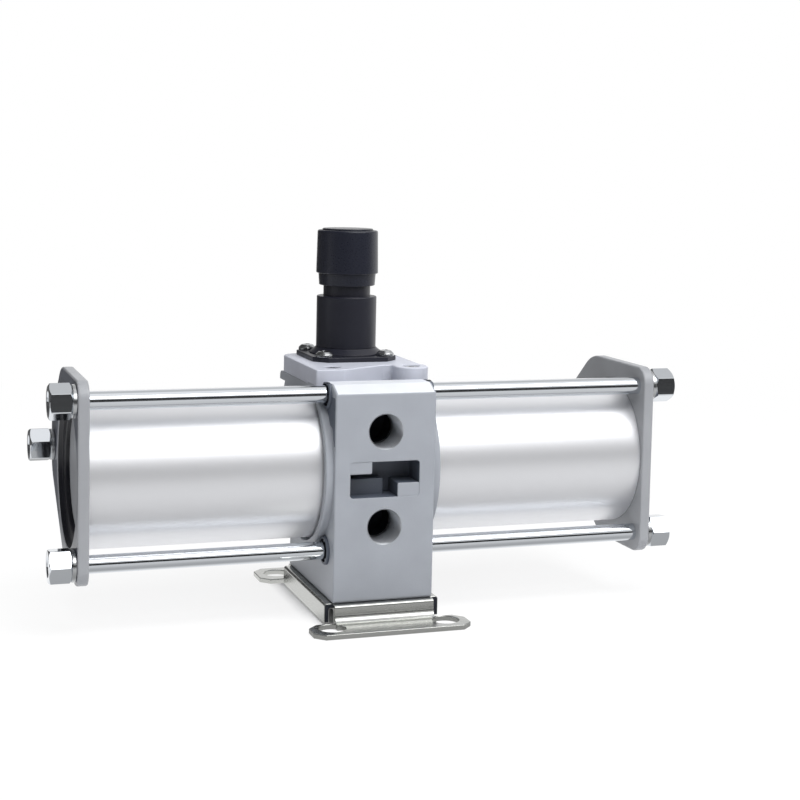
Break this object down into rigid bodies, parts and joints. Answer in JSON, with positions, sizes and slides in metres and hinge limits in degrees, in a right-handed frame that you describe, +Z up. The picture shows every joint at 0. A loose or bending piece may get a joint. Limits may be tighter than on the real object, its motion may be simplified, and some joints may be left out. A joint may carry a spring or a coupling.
{
  "type": "air pressure booster",
  "caption": "Twin-cylinder air pressure booster: cast centre body, tie-rod cylinders, hand-set governor on top and a sheet metal foot bracket.",
  "frame": {"origin": "on the floor, midway between the four mounting holes", "axes": "+X along the two cylinders, -Y out of the ports, +Z up through the knob"},
  "size_m": [0.2932, 0.118, 0.1743],
  "materials": {
    "cast_grey": "satin",
    "polished_tube": "gloss",
    "aluminium": "satin",
    "chrome": "gloss",
    "zinc_steel": "satin",
    "plated_sheet": "gloss",
    "brass": "satin",
    "rubber": "matte",
    "black_metal": "satin",
    "black_plastic": "satin",
    "guide_plastic": "matte"
  },
  "bodies": {
    "body": {"center_body": "cast_grey", "gauge_port_plug": "zinc_steel", "tube_gaskets": "rubber", "switching_sleeve": "aluminium", "valve_retainers": "zinc_steel", "check_cages": "brass", "check_seats": "brass", "governor_block": "cast_grey", "block_gasket": "rubber", "block_screws": "zinc_steel", "valve_seat": "brass", "valve_spring": "zinc_steel", "diaphragm": "rubber", "diaphragm_plate": "aluminium", "spring_plate": "zinc_steel", "bonnet_flange": "black_metal", "flange_screws": "zinc_steel", "governor_bonnet": "black_metal", "setting_spring": "zinc_steel", "mounting_bracket": "plated_sheet", "bracket_screws": "zinc_steel", "left_cylinder_tube": "polished_tube", "left_end_cover": "cast_grey", "left_cover_ring": "rubber", "left_tie_rods": "chrome", "left_tie_rod_nuts": "chrome", "left_lock_washers": "zinc_steel", "left_rod_bush": "brass", "left_rod_seal": "rubber", "right_cylinder_tube": "polished_tube", "right_end_cover": "cast_grey", "right_cover_ring": "rubber", "right_tie_rods": "chrome", "right_tie_rod_nuts": "chrome", "right_lock_washers": "zinc_steel", "right_rod_bush": "brass", "right_rod_seal": "rubber"},
    "pistons": {"piston_rod": "chrome", "left_piston": "aluminium", "left_piston_seal": "rubber", "left_wear_rings": "guide_plastic", "left_piston_nut": "zinc_steel", "right_piston": "aluminium", "right_piston_seal": "rubber", "right_wear_rings": "guide_plastic", "right_piston_nut": "zinc_steel"},
    "spool": {"switching_spool": "zinc_steel", "spool_rings": "rubber"},
    "governor_valve": {"valve_stem": "brass"},
    "adjuster": {"adjusting_screw": "zinc_steel"},
    "seat_nut": {"spring_seat": "brass"},
    "knob": {"adjusting_knob": "black_plastic", "knob_cap": "black_plastic"},
    "left_inlet_poppet_body": {"left_inlet_poppet": "guide_plastic"},
    "left_outlet_poppet_body": {"left_outlet_poppet": "guide_plastic"},
    "right_inlet_poppet_body": {"right_inlet_poppet": "guide_plastic"},
    "right_outlet_poppet_body": {"right_outlet_poppet": "guide_plastic"}
  },
  "joints": [
    {"name": "piston_stroke", "type": "slide", "parent": "body", "child": "pistons", "axis": [1, 0, 0], "range_m": [-0.038, 0.038]},
    {"name": "spool_shift", "type": "slide", "parent": "body", "child": "spool", "axis": [1, 0, 0], "range_m": [-0.003, 0.003]},
    {"name": "governor_valve_lift", "type": "slide", "parent": "body", "child": "governor_valve", "axis": [0, 0, -1], "range_m": [0, 0.0015], "stiffness_N_per_m": 900, "springref_m": -0.001, "deforming": ["valve_spring"]},
    {"name": "adjuster_turn", "type": "hinge", "parent": "body", "child": "adjuster", "pos_m": [0, 0.0245, 0.124], "axis": [0, 0, 1], "range_deg": [-725, 725]},
    {"name": "seat_nut_travel", "type": "slide", "parent": "body", "child": "seat_nut", "axis": [0, 0, -1], "range_m": [-0.003, 0.003], "deforming": ["setting_spring"]},
    {"name": "knob_push", "type": "slide", "parent": "adjuster", "child": "knob", "axis": [0, 0, -1], "range_m": [0, 0.004]},
    {"name": "left_inlet_poppet_lift", "type": "slide", "parent": "body", "child": "left_inlet_poppet_body", "axis": [-1, 0, 0], "range_m": [0, 0.0015]},
    {"name": "left_outlet_poppet_lift", "type": "slide", "parent": "body", "child": "left_outlet_poppet_body", "axis": [1, 0, 0], "range_m": [0, 0.0015]},
    {"name": "right_inlet_poppet_lift", "type": "slide", "parent": "body", "child": "right_inlet_poppet_body", "axis": [1, 0, 0], "range_m": [0, 0.0015]},
    {"name": "right_outlet_poppet_lift", "type": "slide", "parent": "body", "child": "right_outlet_poppet_body", "axis": [-1, 0, 0], "range_m": [0, 0.0015]}
  ],
  "couplings": [
    {"joint": "spool_shift", "follows": "piston_stroke", "ratio": 0.078447},
    {"joint": "adjuster_turn", "follows": "seat_nut_travel", "rad_per_m": 4188.8}
  ]
}
